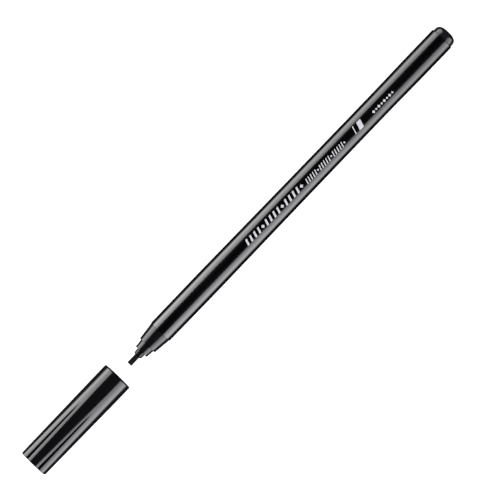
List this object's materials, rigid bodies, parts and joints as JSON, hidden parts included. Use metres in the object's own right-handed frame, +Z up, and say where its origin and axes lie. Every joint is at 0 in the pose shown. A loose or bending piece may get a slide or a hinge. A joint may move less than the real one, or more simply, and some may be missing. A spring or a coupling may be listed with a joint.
{
  "type": "calligraphy marker",
  "caption": "Slim black fibre-tip calligraphy marker with a broad chisel nib, a stepped cone front, a gently waisted barrel and a fluted push-on cap drawn off in front of the nib.",
  "frame": {"origin": "on the pen's axis, in the middle of the straight 10 mm stretch at the barrel's rear end, where a pen holder grips it", "axes": "+X along the pen from the cap and nib towards the rear end, +Y across the pen along the nib's broad edge, +Z up"},
  "size_m": [0.2156, 0.012, 0.012],
  "materials": {
    "barrel_gloss": "glossy injection-moulded black polystyrene",
    "section_satin": "satin injection-moulded black polypropylene",
    "cap_gloss": "polished injection-moulded black polypropylene",
    "nib_fibre": "bonded acrylic fibre soaked in black ink",
    "reservoir_fibre": "drawn polyester fibre soaked in black ink",
    "film": "thin clear-to-milky polypropylene film",
    "liner": "natural, milky polyethylene",
    "print_ink": "silver-grey screen-printed ink"
  },
  "bodies": {
    "pen": {"barrel": "barrel_gloss", "front_section": "section_satin", "nib_collar": "section_satin", "nib": "nib_fibre", "ink_reservoir": "reservoir_fibre", "reservoir_wrap": "film", "end_plug": "section_satin"},
    "cap": {"cap_shell": "cap_gloss", "inner_cap": "liner"}
  },
  "joints": [
    {"name": "cap_slide", "type": "slide", "parent": "pen", "child": "cap", "axis": [1, 0, 0], "range_m": [0, 0.0466]}
  ]
}
